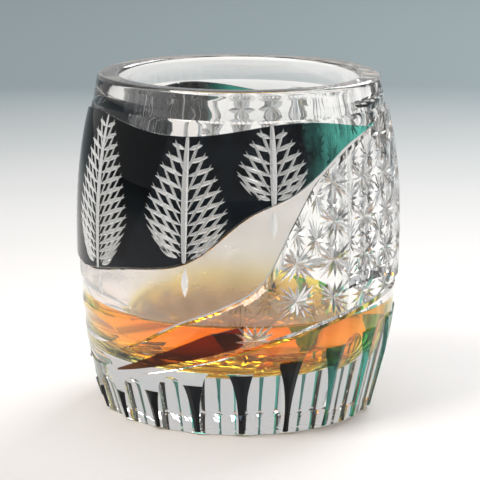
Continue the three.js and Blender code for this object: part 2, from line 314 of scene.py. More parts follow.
def plate(name, ends, low, high, inner, outer, columns, rows):
    """A curved plate on the barrel: low and high follow the azimuth."""
    deselect_all()
    bpy.ops.mesh.primitive_grid_add(x_subdivisions=columns, y_subdivisions=rows, size=1.0)
    piece = bpy.context.object
    piece.name = piece.data.name = name
    edit_all(piece)
    bpy.ops.mesh.extrude_region_move(TRANSFORM_OT_translate={"value": (0, 0, 1)})
    end_edit()

    def place(unit):
        azimuth = ends[0] + (unit.x + 0.5) * (ends[1] - ends[0])
        bottom, top = low(azimuth), high(azimuth)
        z = bottom + (unit.y + 0.5) * (top - bottom)
        return on_barrel(azimuth, z, inner + unit.z * (outer - inner))

    move_points(piece, place)
    tidy_solid(piece)
    return piece


class Stroke:
    """A wheel's cut: where it runs, how wide and how deep it is."""

    def __init__(self, line, half_width, depth, bluntness=1.0):
        self.line = line
        self.half_width = half_width
        self.depth = depth
        self.bluntness = bluntness


def straight(start, end):
    """A line between two (azimuth, height) points."""
    return lambda t: (start[0] + t * (end[0] - start[0]), start[1] + t * (end[1] - start[1]))


TIP_LIFT = 0.06 * MM


def stroke_placer(stroke):
    """Moves a unit sphere's points so that its poles lie at the stroke's two ends."""

    def place(unit):
        t = math.acos(max(-1.0, min(1.0, unit.z))) / math.pi
        ring = math.hypot(unit.x, unit.y)
        across, up = (unit.x / ring, unit.y / ring) if ring > 1e-6 else (0.0, 0.0)
        swell = max(math.sin(math.pi * t), 0.0) ** stroke.bluntness if ring > 1e-6 else 0.0
        azimuth, z = stroke.line(t)
        before, after = stroke.line(max(t - 0.01, 0.0)), stroke.line(min(t + 0.01, 1.0))
        degree = degree_length(z)
        run = Vector(((after[0] - before[0]) * degree, after[1] - before[1])).normalized()
        half_width = stroke.half_width * (stroke.depth + TIP_LIFT) / stroke.depth
        side = across * half_width * swell
        out = TIP_LIFT + up * (stroke.depth + TIP_LIFT) * swell
        return on_barrel(azimuth + run.y * side / degree, z - run.x * side, out)

    return place


def joined(name, copies):
    """Makes one object of several."""
    take(*copies)
    if len(copies) > 1:
        bpy.ops.object.join()
    piece = bpy.context.object
    piece.name = piece.data.name = name
    return piece


def cutter(name, strokes, finish, sides=4, rings=8):
    """One cutter for several strokes, which mustn't cross each other."""
    deselect_all()
    bpy.ops.mesh.primitive_uv_sphere_add(segments=sides, ring_count=rings, radius=1.0)
    wheel = bpy.context.object
    copies = []
    for stroke in strokes:
        copy = wheel.copy()
        copy.data = wheel.data.copy()
        bpy.context.collection.objects.link(copy)
        move_points(copy, stroke_placer(stroke))
        copies.append(copy)
    remove(wheel)
    piece = joined(name, copies)
    edit_all(piece)
    bpy.ops.mesh.normals_make_consistent(inside=False)
    end_edit()
    piece.data.materials.clear()
    piece.data.materials.append(finish)
    return piece


# ---- finishes ----


def node(tree, kind, where, **inputs):
    """Adds a node at a place in the editor and sets its inputs by name."""
    made = tree.nodes.new(kind)
    made.location = where
    for name, value in inputs.items():
        made.inputs[name.replace("_", " ")].default_value = value
    return made


def new_group(name, inputs, outputs):
    """A node group with float sockets: inputs as name and default, outputs as names."""
    tree = bpy.data.node_groups.new(name, "ShaderNodeTree")
    for label, default in inputs.items():
        socket = tree.interface.new_socket(label, in_out="INPUT", socket_type="NodeSocketFloat")
        socket.default_value = default
    for label in outputs:
        tree.interface.new_socket(label, in_out="OUTPUT", socket_type="NodeSocketFloat")
    return tree, tree.nodes.new("NodeGroupInput"), tree.nodes.new("NodeGroupOutput")


def scaled_range(tree, source, low, high, where):
    """Maps a 0 to 1 value to a range."""
    mapped = node(tree, "ShaderNodeMapRange", where)
    tree.links.new(source, mapped.inputs["Value"])
    for socket, value in (("To Min", low), ("To Max", high)):
        if isinstance(value, float):
            mapped.inputs[socket].default_value = value
        else:
            tree.links.new(value, mapped.inputs[socket])
    return mapped.outputs["Result"]


def hand_polish_group():
    """Slow waves and faint smears that hand polishing leaves on glass."""
    name = "Hand polish"
    if name in bpy.data.node_groups:
        return bpy.data.node_groups[name]
    tree, given, result = new_group(
        name, {"Smooth": 0.0, "Smeared": 0.05, "Wave Size": 90.0}, ("Roughness", "Height"))
    place = node(tree, "ShaderNodeTexCoord", (-900, 0))
    waves = node(tree, "ShaderNodeTexNoise", (-650, 150), Detail=1.0, Roughness=0.4)
    smears = node(tree, "ShaderNodeTexNoise", (-650, -150), Scale=420.0, Detail=4.0)
    tree.links.new(place.outputs["Object"], waves.inputs["Vector"])
    tree.links.new(place.outputs["Object"], smears.inputs["Vector"])
    tree.links.new(given.outputs["Wave Size"], waves.inputs["Scale"])
    rough = scaled_range(tree, smears.outputs["Fac"], given.outputs["Smooth"],
                         given.outputs["Smeared"], (-300, -150))
    tree.links.new(rough, result.inputs["Roughness"])
    tree.links.new(waves.outputs["Fac"], result.inputs["Height"])
    return tree


def grind_group():
    """The fine grain of a ground cut, with slow changes in how far it was polished out."""
    name = "Wheel grind"
    if name in bpy.data.node_groups:
        return bpy.data.node_groups[name]
    tree, given, result = new_group(
        name, {"Polished": 0.15, "Ground": 0.45, "Grain": 5200.0}, ("Roughness", "Height"))
    place = node(tree, "ShaderNodeTexCoord", (-900, 0))
    patches = node(tree, "ShaderNodeTexNoise", (-650, 150), Scale=260.0, Detail=2.0)
    grain = node(tree, "ShaderNodeTexNoise", (-650, -150), Detail=2.0)
    tree.links.new(place.outputs["Object"], patches.inputs["Vector"])
    tree.links.new(place.outputs["Object"], grain.inputs["Vector"])
    tree.links.new(given.outputs["Grain"], grain.inputs["Scale"])
    rough = scaled_range(tree, patches.outputs["Fac"], given.outputs["Polished"],
                         given.outputs["Ground"], (-300, 150))
    tree.links.new(rough, result.inputs["Roughness"])
    tree.links.new(grain.outputs["Fac"], result.inputs["Height"])
    return tree


def glass_finish(name, colour, ior, transmission, group, values, bump_distance):
    """Glass whose roughness and bump come from one of the shared groups."""
    if name in bpy.data.materials:
        return bpy.data.materials[name]
    finish = bpy.data.materials.new(name)
    finish.use_nodes = True
    finish.diffuse_color = (*colour, 0.5)
    tree = finish.node_tree
    shader = tree.nodes["Principled BSDF"]
    shader.inputs["Base Color"].default_value = (*colour, 1.0)
    shader.inputs["IOR"].default_value = ior
    shader.inputs["Transmission Weight"].default_value = transmission
    surface = tree.nodes.new("ShaderNodeGroup")
    surface.node_tree = group
    surface.location = (-600, 0)
    for label, value in values.items():
        surface.inputs[label].default_value = value
    tree.links.new(surface.outputs["Roughness"], shader.inputs["Roughness"])
    bump = node(tree, "ShaderNodeBump", (-300, -200), Strength=1.0, Distance=bump_distance)
    tree.links.new(surface.outputs["Height"], bump.inputs["Height"])
    tree.links.new(bump.outputs["Normal"], shader.inputs["Normal"])
    return finish


def clear_crystal():
    """The polished glass of the body and of its long grooves."""
    look = bpy.context.scene.cup_crystal
    return glass_finish("Clear crystal", tuple(look.colour), look.ior, 1.0, hand_polish_group(),
                        {"Smooth": 0.0, "Smeared": 0.03, "Wave Size": 90.0}, 0.02 * MM)


def ground_crystal():
    """The frosted strokes, trunks and roots of the trees."""
    look = bpy.context.scene.cup_crystal
    return glass_finish("Ground cuts", tuple(look.ground_colour), look.ior,
                        look.ground_clearness, grind_group(),
                        {"Polished": 0.12, "Ground": 0.42, "Grain": 5200.0}, 0.01 * MM)


def star_crystal():
    """The stars' rays, ground and then nearly polished."""
    look = bpy.context.scene.cup_crystal
    return glass_finish("Polished star cuts", tuple(look.colour), look.ior,
                        look.star_clearness, grind_group(),
                        {"Polished": 0.02, "Ground": 0.2, "Grain": 3600.0}, 0.004 * MM)


CASING_INDEX = 1.3  # low, so that the near-black glass mirrors little of the pale room
# These set where the casing is painted a lighter teal towards the mountain, with a noisy edge:
# painted back light.
PAINTED_BACKLIGHT_SPREAD = 4.0 * MM
PAINTED_BACKLIGHT_FROM = 2.0 * MM
PAINTED_BACKLIGHT_TO = 15.0 * MM
MIST_LEAST = 0.25


def casing_finish(name, dense, painted_backlight_colour):
    """Casing glass of one tint that turns to a lighter teal towards the mountain: painted back
    light, standing in for light from behind that shines through the clear mountain.
    """
    if name in bpy.data.materials:
        return bpy.data.materials[name]
    finish = glass_finish(name, tuple(dense), CASING_INDEX, 1.0, hand_polish_group(),
                          {"Smooth": 0.01, "Smeared": 0.06, "Wave Size": 130.0}, 0.02 * MM)
    tree = finish.node_tree
    shader = tree.nodes["Principled BSDF"]
    place = node(tree, "ShaderNodeTexCoord", (-1500, 300))
    towards = node(tree, "ShaderNodeVectorMath", (-1300, 300))
    towards.operation = "DOT_PRODUCT"
    angle = math.radians(MOUNTAIN_AZIMUTH)
    towards.inputs[1].default_value = (math.sin(angle), -math.cos(angle), 0.0)
    tree.links.new(place.outputs["Object"], towards.inputs[0])
    uneven = node(tree, "ShaderNodeTexNoise", (-1300, 550), Scale=150.0, Detail=3.0)
    tree.links.new(place.outputs["Object"], uneven.inputs["Vector"])
    spread = scaled_range(tree, uneven.outputs["Fac"], -PAINTED_BACKLIGHT_SPREAD, PAINTED_BACKLIGHT_SPREAD, (-1100, 550))
    reach = node(tree, "ShaderNodeMath", (-900, 300))
    reach.operation = "ADD"
    tree.links.new(towards.outputs["Value"], reach.inputs[0])
    tree.links.new(spread, reach.inputs[1])
    # Painted back light: the tint turns lighter teal where the casing lies towards the mountain.
    painted_backlight_mask = node(tree, "ShaderNodeMapRange", (-700, 300))
    painted_backlight_mask.inputs["From Min"].default_value = PAINTED_BACKLIGHT_FROM
    painted_backlight_mask.inputs["From Max"].default_value = PAINTED_BACKLIGHT_TO
    tree.links.new(reach.outputs["Value"], painted_backlight_mask.inputs["Value"])
    mixed = node(tree, "ShaderNodeMix", (-450, 300))
    mixed.data_type = "RGBA"
    mixed.inputs["A"].default_value = (*dense, 1.0)
    mixed.inputs["B"].default_value = (*painted_backlight_colour, 1.0)
    tree.links.new(painted_backlight_mask.outputs["Result"], mixed.inputs["Factor"])
    tree.links.new(mixed.outputs["Result"], shader.inputs["Base Color"])
    return finish


def dark_casing():
    look = bpy.context.scene.cup_casing
    return casing_finish("Dark casing", look.colour, look.painted_backlight_colour)


def lens_casing():
    look = bpy.context.scene.cup_casing
    return casing_finish("Brown casing", look.lens_colour, look.painted_backlight_colour)


def misted_crystal():
    """The hillside and the broad hollows: frosted under the sky and clearing downwards."""
    name = "Misted crystal"
    if name in bpy.data.materials:
        return bpy.data.materials[name]
    look = bpy.context.scene.cup_crystal
    finish = glass_finish(name, tuple(look.mist_colour), look.ior, look.mist_clearness,
                          grind_group(), {"Polished": 0.2, "Ground": 0.45, "Grain": 4000.0},
                          0.005 * MM)
    tree = finish.node_tree
    shader = tree.nodes["Principled BSDF"]
    grain = shader.inputs["Roughness"].links[0].from_socket
    place = node(tree, "ShaderNodeTexCoord", (-1100, 300))
    parts = node(tree, "ShaderNodeSeparateXYZ", (-900, 300))
    tree.links.new(place.outputs["Object"], parts.inputs["Vector"])
    fade = node(tree, "ShaderNodeMapRange", (-700, 300))
    fade.inputs["From Min"].default_value = look.mist_foot
    fade.inputs["From Max"].default_value = look.mist_top
    fade.inputs["To Min"].default_value = MIST_LEAST
    tree.links.new(parts.outputs["Z"], fade.inputs["Value"])
    rough = node(tree, "ShaderNodeMath", (-450, 300))
    rough.operation = "MULTIPLY"
    tree.links.new(fade.outputs["Result"], rough.inputs[0])
    tree.links.new(grain, rough.inputs[1])
    tree.links.new(rough.outputs["Value"], shader.inputs["Roughness"])
    return finish


DRINK_INDEX = 1.36


def amber_drink():
    """A clear liquid that takes up blue and some green on the way through."""
    look = bpy.context.scene.cup_drink
    finish = glass_finish("Amber drink", tuple(look.surface_colour), DRINK_INDEX, 1.0,
                          hand_polish_group(),
                          {"Smooth": 0.0, "Smeared": 0.0, "Wave Size": 40.0}, 0.01 * MM)
    tree = finish.node_tree
    if "Volume Absorption" not in tree.nodes:
        body = node(tree, "ShaderNodeVolumeAbsorption", (0, -400), Density=look.strength)
        body.inputs["Color"].default_value = (*look.colour, 1.0)
        tree.links.new(body.outputs[0], tree.nodes["Material Output"].inputs["Volume"])
    return finish


# ---- sizes and colours that a user would change ----


def tint(name, description, default):
    """A colour property."""
    return bpy.props.FloatVectorProperty(name=name, description=description, default=default,
                                         subtype="COLOR", min=0, max=1)


def length(name, description, default):
    """A property in metres, shown finely enough for hundredths of a millimetre."""
    return bpy.props.FloatProperty(name=name, description=description, default=default,
                                   unit="LENGTH", precision=5)


def factor(name, description, default):
    """A property from 0 to 1."""
    return bpy.props.FloatProperty(name=name, description=description, default=default,
                                   subtype="FACTOR", min=0, max=1)


class CupCrystal(bpy.types.PropertyGroup):
    steps: bpy.props.IntProperty(name="Turn steps", description="Faces round the body",
                                 default=288, min=64, max=512)
    star_depth: length("Star depth", "Depth of the star rays", 0.5 * MM)
    star_width: length("Star ray half width", "Half width of a ray at the star's centre", 0.46 * MM)
    colour: tint("Crystal", "Tint of the clear glass", (0.98, 0.985, 0.98))
    ground_colour: tint("Ground cuts", "Tint of the frosted strokes", (0.96, 0.955, 0.94))
    mist_colour: tint("Hillside", "Tint of the mist", (0.97, 0.9, 0.85))
    mist_clearness: factor("Clearness of hillside", "How much light the mist passes", 0.95)
    mist_foot: length("Mist foot", "Height where it clears", 22.0 * MM)
    mist_top: length("Mist top", "Height where it is full", 31.0 * MM)
    ior: bpy.props.FloatProperty(name="Index", description="Refractive index of the crystal",
                                 default=1.54, min=1.0, max=2.0)
    ground_clearness: factor("Clearness of strokes", "How much light frosted cuts pass", 0.35)
    star_clearness: factor("Clearness of stars", "How much light the star cuts pass", 0.8)


class CupCasing(bpy.types.PropertyGroup):
    overlap: length("Fused depth", "How far the casing is fused into the crystal", 0.02 * MM)
    stroke_pitch: length("Stroke pitch", "Height between strokes of a tree", 1.8 * MM)
    stroke_width: length("Stroke half width", "Half width of a stroke at its middle", 0.36 * MM)
    stroke_depth: length("Stroke depth", "Depth of a stroke", 0.62 * MM)
    colour: tint("Casing", "Tint of the dark glass", (0.008, 0.011, 0.015))
    lens_colour: tint("Lens casing", "Tint of the lens islands", (0.16, 0.045, 0.005))
    # Painted back light: the lighter teal that the casing is painted towards the mountain, where
    # light from behind shows through.
    painted_backlight_colour: tint("Thin casing", "Tint where the casing runs out", (0.12, 0.58, 0.48))


class CupDrink(bpy.types.PropertyGroup):
    level: length("Level", "Height of the drink's surface", 20.0 * MM)
    meniscus: length("Meniscus", "Rise at the glass", 0.7 * MM)
    colour: tint("Drink", "Colour it lets through", (1.0, 0.74, 0.0))
    surface_colour: tint("Surface", "Surface tint", (1.0, 0.85, 0.15))
    strength: bpy.props.FloatProperty(name="Strength", description="Absorption per metre",
                                      default=150.0, min=0.0)


class CupStage(bpy.types.PropertyGroup):
    floor_colour: tint("Floor", "Colour by the cup", (0.93, 0.885, 0.855))
    # Painted shade: the colour that the plain pale floor is painted far from the cup, where the
    # light falls off.
    far_painted_shade_colour: tint("Far floor", "Colour far off", (0.177, 0.222, 0.235))
    key_power: bpy.props.FloatProperty(name="Key light", description="Power of the softbox",
                                       default=6.0, unit="POWER")
    fill_power: bpy.props.FloatProperty(name="Back light", description="Power behind the cup",
                                        default=7.0, unit="POWER")
    room_light: bpy.props.FloatProperty(name="Room light", description="Strength of the room",
                                        default=0.68, min=0.0)


# ---- the clear body ----

FLOOR_HEIGHT = 11.0 * MM
FLOOR_RADIUS = 15.5 * MM
CORNER_HEIGHT = 5.5 * MM
CUP_LOW_RADIUS = 21.2 * MM
RIM_INNER_RADIUS = 22.7 * MM
RIM_RADIUS = 26.9 * MM
RIM_BAND_HEIGHT = 58.8 * MM
RIM_BAND_RADIUS = 27.6 * MM
RIM_ROUND = 0.9 * MM
FOOT_CHAMFER = 0.7 * MM
BARREL_ROWS = 42
BAND_GAP = 0.6 * MM
BAND_BULGE = 0.12 * MM
BAND_SHOULDER_DROP = 0.25 * MM
BAND_STEPS = 6
CUP_WALL_ROW = 3.0 * MM
CUP_WALL_POWER = 1.8
FLOOR_DISH = 0.15 * MM


def rounded(centre, radii, start, end, steps):
    """Points of an elliptical arc, from one angle to another in degrees."""
    points = []
    for i in range(steps + 1):
        angle = math.radians(start + (end - start) * i / steps)
        points.append((centre[0] + radii[0] * math.cos(angle),
                       centre[1] + radii[1] * math.sin(angle)))
    return points


def outer_profile():
    """The outside from the foot up to the rim's rounding."""
    foot = barrel_radius(0.0) - SEAT - FOOT_CHAMFER
    points = rounded((foot, FOOT_CHAMFER), (FOOT_CHAMFER, FOOT_CHAMFER), -90, -15, 4)
    top = RIM_BAND_HEIGHT - BAND_GAP
    for i in range(BARREL_ROWS + 1):
        z = FOOT_CHAMFER + (top - FOOT_CHAMFER) * i / BARREL_ROWS
        points.append((barrel_radius(z) - SEAT, z))
    points.append((RIM_BAND_RADIUS + BAND_BULGE, RIM_BAND_HEIGHT - BAND_SHOULDER_DROP))
    rise = HEIGHT - RIM_ROUND - RIM_BAND_HEIGHT
    for i in range(BAND_STEPS + 1):
        share = i / BAND_STEPS
        bulge = BAND_BULGE * math.sin(math.pi * share)
        points.append((RIM_BAND_RADIUS + (RIM_RADIUS - RIM_BAND_RADIUS) * share + bulge,
                       RIM_BAND_HEIGHT + rise * share))
    return points


def rim_profile():
    """The lip, rounded outside and inside."""
    radii = (RIM_ROUND, RIM_ROUND)
    outer = rounded((RIM_RADIUS - RIM_ROUND, HEIGHT - RIM_ROUND), radii, 11, 90, 7)
    inner = rounded((RIM_INNER_RADIUS + RIM_ROUND, HEIGHT - RIM_ROUND), radii, 90, 180, 8)
    return outer + inner


def cup_wall_radius(z):
    """The cup's inner radius above its rounded corner."""
    share = (z - FLOOR_HEIGHT - CORNER_HEIGHT) / (HEIGHT - FLOOR_HEIGHT - CORNER_HEIGHT)
    share = max(share, 0.0)
    return CUP_LOW_RADIUS + (RIM_INNER_RADIUS - CUP_LOW_RADIUS) * (1 - (1 - share) ** CUP_WALL_POWER)


def cup_profile(top):
    """The inside from a height on the wall down to the axis."""
    corner = FLOOR_HEIGHT + CORNER_HEIGHT
    rows = max(2, round((top - corner) / CUP_WALL_ROW))
    points = []
    for i in range(rows):
        z = top + (corner - top) * i / rows
        points.append((cup_wall_radius(z), z))
    reach = CUP_LOW_RADIUS - FLOOR_RADIUS
    points += rounded((FLOOR_RADIUS, corner), (reach, CORNER_HEIGHT), 0, -90, 14)
    for share in (0.8, 0.6, 0.4, 0.2):
        points.append((FLOOR_RADIUS * share, FLOOR_HEIGHT - FLOOR_DISH * (1 - share)))
    points.append((0.0, FLOOR_HEIGHT - FLOOR_DISH))
    return points


def mountain_side(side):
    """The mountain's edge on one side, from its top down."""

    def line(t):
        azimuth = MOUNTAIN_AZIMUTH + side * (SLOPE_START + (SLOPE_END - SLOPE_START) * t)
        return azimuth, slope_height(azimuth)

    return line


MOUNTAIN_ROOT = -2.0 * MM
MOUNTAIN_TOP_DROP = 1.0 * MM
MOUNTAIN_GRID = (200, 40)
MIST_GRID = (360, 16)
CUP_TOP_DROP = 1.0 * MM
MIST_DEPTH = SEAT + 0.03 * MM
MIST_START = SKY_START + 1.0
CUTTER_CLEARANCE = 1.0 * MM


def mist_cutter():
    """Grinds the hillside, from the mountain's edge up to the sky's."""
    ends = (MOUNTAIN_AZIMUTH + MIST_START, MOUNTAIN_AZIMUTH + 360.0 - MIST_START)
    piece = plate("mist_cut", ends, slope_height, sky_edge_height,
                  -MIST_DEPTH, CUTTER_CLEARANCE, *MIST_GRID)
    piece.data.materials.append(misted_crystal())
    return piece


def slope_cutter(finish):
    """The mountain's edge, as one groove on each side."""
    strokes = [Stroke(mountain_side(side), SLOPE_HALF_WIDTH, SLOPE_DEPTH,
                      SLOPE_BLUNTNESS)
               for side in (-1, 1)]
    return cutter("slope_cut", strokes, finish, rings=140)


def sky_edge_cutter(finish):
    """The bright bevel along the sky's lower edge."""

    def line(t):
        azimuth = MOUNTAIN_AZIMUTH + SKY_START + (360.0 - 2.0 * SKY_START) * t
        return azimuth, sky_edge_height(azimuth)

    stroke = Stroke(line, SKY_EDGE_HALF_WIDTH, SKY_EDGE_DEPTH, SKY_EDGE_BLUNTNESS)
    return cutter("sky_edge_cut", [stroke], finish, rings=300)


def river_cutter(finish):
    """The river's groove, nearly round the cup."""

    def line(t):
        azimuth = RIVER_ENDS[0] + (RIVER_ENDS[1] - RIVER_ENDS[0]) * t
        return azimuth, river_height(azimuth)

    stroke = Stroke(line, RIVER_HALF_WIDTH, RIVER_DEPTH, RIVER_BLUNTNESS)
    return cutter("river_cut", [stroke], finish, rings=240)


def wave_cutters(finish):
    """The broad hollows opposite the mountain."""
    cutters = []
    for i, (points, half_width) in enumerate(WAVES):
        reach = 180.0 - points[0][0]

        def line(t, points=points, reach=reach):
            azimuth = MOUNTAIN_AZIMUTH - 180.0 - reach + 2 * reach * t
            return azimuth, smooth_along(points, from_mountain(azimuth)) * MM

        stroke = Stroke(line, half_width * MM, WAVE_DEPTH, WAVE_BLUNTNESS)
        cutters.append(cutter(f"wave_cut_{i}", [stroke], finish, sides=20, rings=90))
    return cutters


STAR_ABOVE_RIVER = 0.6 * MM
STAR_UNDER_SLOPE = 2.4 * MM
STAR_BLUNTNESS = 0.75


def star_centres():
    """Where the grid of stars falls on the mountain."""
    centres = []
    for column in range(STAR_COLUMNS):
        azimuth = STAR_FIRST_COLUMN + column * STAR_COLUMN
        low = river_height(azimuth) + STAR_ABOVE_RIVER
        high = slope_height(azimuth) - STAR_UNDER_SLOPE
        for row in range(STAR_ROWS):
            z = STAR_FIRST_ROW + row * STAR_ROW
            if low < z < high:
                centres.append((azimuth, z))
    return centres


# Directions of the eight grooves through a star, in grid steps, and their half lengths.
STAR_GROOVES = (
    ((1, 0), 0.49), ((0, 1), 0.49), ((1, 1), 0.47), ((1, -1), 0.47),
    ((2, 1), 0.25), ((2, -1), 0.25), ((1, 2), 0.25), ((1, -2), 0.25),
)


def star_cutters(finish):
    """One cutter for each of the eight grooves through a star, for all stars at once."""
    look = bpy.context.scene.cup_crystal
    cutters = []
    for i, ((across, up), reach) in enumerate(STAR_GROOVES):
        strokes = []
        for azimuth, z in star_centres():
            step = (across * reach * STAR_COLUMN, up * reach * STAR_ROW)
            ends = ((azimuth - step[0], z - step[1]), (azimuth + step[0], z + step[1]))
            strokes.append(Stroke(straight(*ends), look.star_width, look.star_depth,
                                  STAR_BLUNTNESS))
        cutters.append(cutter(f"star_cut_{i}", strokes, finish, rings=6))
    return cutters


FLUTE_WHEEL = 12.0 * MM
FLUTE_CUT = 0.66 * MM
FLUTE_FOOT = -3.0 * MM


def ridge_azimuths():
    return [RIDGE_AZIMUTH + i * FLUTE_PITCH for i in range(FLUTES)]


def flute_cutter(name, azimuths):
    """Round wheels side by side: a ball drawn out along the barrel's lean for each flute."""
    deselect_all()
    bpy.ops.mesh.primitive_uv_sphere_add(segments=96, ring_count=48, radius=FLUTE_WHEEL)
    ball = bpy.context.object
    out = FLUTE_WHEEL - FLUTE_CUT
    drop = math.sqrt(2 * FLUTE_WHEEL * FLUTE_CUT)
    copies = []
    for azimuth in azimuths:
        high = on_barrel(azimuth, flute_height(azimuth) - drop, out)
        low = on_barrel(azimuth, FLUTE_FOOT, out)
        axis = high - low
        turn = axis.to_track_quat("Z", "Y").to_matrix().to_4x4()
        wheel = ball.copy()
        wheel.data = ball.data.copy()
        bpy.context.collection.objects.link(wheel)
        for vertex in wheel.data.vertices:
            if vertex.co.z < -1e-6:
                vertex.co.z -= axis.length
        wheel.data.transform(Matrix.Translation(high) @ turn)
        copies.append(wheel)
    remove(ball)
    return joined(name, copies)


def cut_flutes(piece):
    """Cuts every second flute, then the ones between, so that no cutter meets itself."""
    middles = [at + FLUTE_PITCH / 2 for at in ridge_azimuths()]
    cut(piece, flute_cutter("flutes_a", middles[0::2]), flute_cutter("flutes_b", middles[1::2]))


# ---- trees ----


# Half width of the foliage as a share of its widest, from its foot to its top.
FOLIAGE = ((0.0, 0.45), (0.1, 0.72), (0.3, 1.0), (0.5, 0.9), (0.75, 0.62), (1.0, 0.22))
FOLIAGE_ABOVE_EDGE = 1.2 * MM
FOLIAGE_UNDER_TOP = 0.3 * MM
FIRST_TIP = 0.8 * MM
TRUNK_CLEARANCE = 0.3 * MM
LOW_ANGLE = 20.0
STEEP_ANGLE = 38.0
STEEP_FAN = 34.0
LOW_FIRST = 0.1
STEEP_FIRST = 0.55
LOW_WIDTH = 1.15
STEEP_WIDTH = 0.8
STROKE_BLUNTNESS = 0.7
TRUNK_HALF_WIDTH = 0.62 * MM
TRUNK_DEPTH = 0.7 * MM
TRUNK_BELOW = 3.0 * MM
TRUNK_ABOVE = 1.2 * MM
TRUNK_BLUNTNESS = 0.35
ROOT_HALF_WIDTH = 1.3 * MM
ROOT_DEPTH = SEAT + 0.55 * MM
ROOT_BELOW = 7.5 * MM
ROOT_ABOVE = 0.6 * MM


def tree_span(azimuth):
    """The lowest and highest points of a tree's foliage."""
    return (sky_edge_height(azimuth) + FOLIAGE_ABOVE_EDGE,
            casing_top_height(azimuth) - FOLIAGE_UNDER_TOP)


def tree_strokes(azimuth, half_width, side, steep):
    """One side's strokes of one direction, from the trunk outwards and upwards."""
    look = bpy.context.scene.cup_casing
    foot, top = tree_span(azimuth)
    count = int((top - foot) / look.stroke_pitch)
    strokes = []
    for i in range(count):
        share = (i + (STEEP_FIRST if steep else LOW_FIRST)) / count
        tip_z = foot + FIRST_TIP + share * (top - foot)
        if tip_z > top:
            continue
        reach = smooth_along(FOLIAGE, share) * half_width * MM
        angle = STEEP_ANGLE + STEEP_FAN * share if steep else LOW_ANGLE
        rise = math.tan(math.radians(angle))
        near = max(TRUNK_CLEARANCE, reach - (tip_z - foot) / rise)
        degree = degree_length(tip_z)
        start = (azimuth + side * near / degree, tip_z - (reach - near) * rise)
        end = (azimuth + side * reach / degree, tip_z)
        width = look.stroke_width * (STEEP_WIDTH if steep else LOW_WIDTH)
        stroke = Stroke(straight(start, end), width, look.stroke_depth, STROKE_BLUNTNESS)
        strokes.append(stroke)
    return strokes


def trunk_stroke(azimuth):
    """The groove of a trunk, from below the foliage to above it."""
    foot, top = tree_span(azimuth)
    start, end = (azimuth, foot - TRUNK_BELOW), (azimuth, top + TRUNK_ABOVE)
    return Stroke(straight(start, end), TRUNK_HALF_WIDTH, TRUNK_DEPTH, TRUNK_BLUNTNESS)


def root_stroke(azimuth):
    """The pointed facet that carries the trunk down over the bare glass."""
    edge = sky_edge_height(azimuth)
    start, end = (azimuth, edge - ROOT_BELOW), (azimuth, edge + ROOT_ABOVE)
    return Stroke(straight(start, end), ROOT_HALF_WIDTH, ROOT_DEPTH)


def tree_cutters(finish, on_casing):
    """Every tree's strokes and trunks, and on the bare glass their roots."""
    cutters = []
    for side in (-1, 1):
        for steep in (False, True):
            strokes = []
            for azimuth, half_width in TREES:
                strokes += tree_strokes(azimuth, half_width, side, steep)
            label = f"tree_cut_{'steep' if steep else 'low'}_{side + 1}"
            cutters.append(cutter(label, strokes, finish, rings=8))
    trunks = [trunk_stroke(azimuth) for azimuth, _ in TREES]
    cutters.append(cutter("trunk_cut", trunks, finish, rings=24))
    if not on_casing:
        roots = [root_stroke(azimuth) for azimuth, _ in TREES]
        cutters.append(cutter("root_cut", roots, finish, rings=12))
    return cutters


SMOOTH_ANGLE = math.radians(12.0)


def finish_piece(piece, slot, *replaced):
    """Smooth shading, its body and the solids that it stands for. The slot argument is not used."""
    take(piece)
    bpy.ops.object.shade_smooth_by_angle(angle=SMOOTH_ANGLE)
    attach(piece, BODY)
    if replaced:
        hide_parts(*replaced)


class CUP_OT_crystal_body(bpy.types.Operator):
    """Turn the clear body, raise the mountain and make every cut in it"""

    bl_idname = "cup.crystal_body"
    bl_label = "Crystal body"

    def execute(self, context):
        look = context.scene.cup_crystal
        profile = outer_profile() + rim_profile() + cup_profile(HEIGHT - RIM_ROUND - CUP_TOP_DROP)
        body = turned("cut_crystal_body", [(0.0, 0.0)] + profile, look.steps)
        body.data.materials.append(clear_crystal())
        low = MOUNTAIN_AZIMUTH - FIELD_HALF_ANGLE
        high = MOUNTAIN_AZIMUTH + FIELD_HALF_ANGLE
        top = RIM_BAND_HEIGHT - MOUNTAIN_TOP_DROP
        mountain = plate("mountain", (low, high), river_height,
                         lambda azimuth: min(slope_height(azimuth), top),
                         MOUNTAIN_ROOT, 0.0, *MOUNTAIN_GRID)
        mountain.data.materials.append(clear_crystal())
        combine(body, mountain, "UNION")
        cut(body, mist_cutter(), *wave_cutters(misted_crystal()))
        cut(body, *star_cutters(star_crystal()))
        cut(body, slope_cutter(clear_crystal()), river_cutter(clear_crystal()))
        cut(body, sky_edge_cutter(clear_crystal()))
        cut(body, *tree_cutters(ground_crystal(), on_casing=False))
        cut_flutes(body)
        finish_piece(body, "crystal", "crystal_body")
        return {"FINISHED"}


# ---- the dark casing ----

SKY_GRID = (400, 26)
LENS_GRID = (80, 8)
RIDGE_GRID = (12, 16)


def cased_plate(name, ends, low, high, grid, finish):
    """A plate of casing, fused a little way into the crystal under it."""
    look = bpy.context.scene.cup_casing
    piece = plate(name, ends, low, high, -(SEAT + look.overlap), 0.0, *grid)
    piece.data.materials.append(finish)
    return piece


def sky_high(azimuth):
    """The sky's top edge, which never meets its lower one."""
    return max(casing_top_height(azimuth), sky_edge_height(azimuth) + SKY_THINNEST)


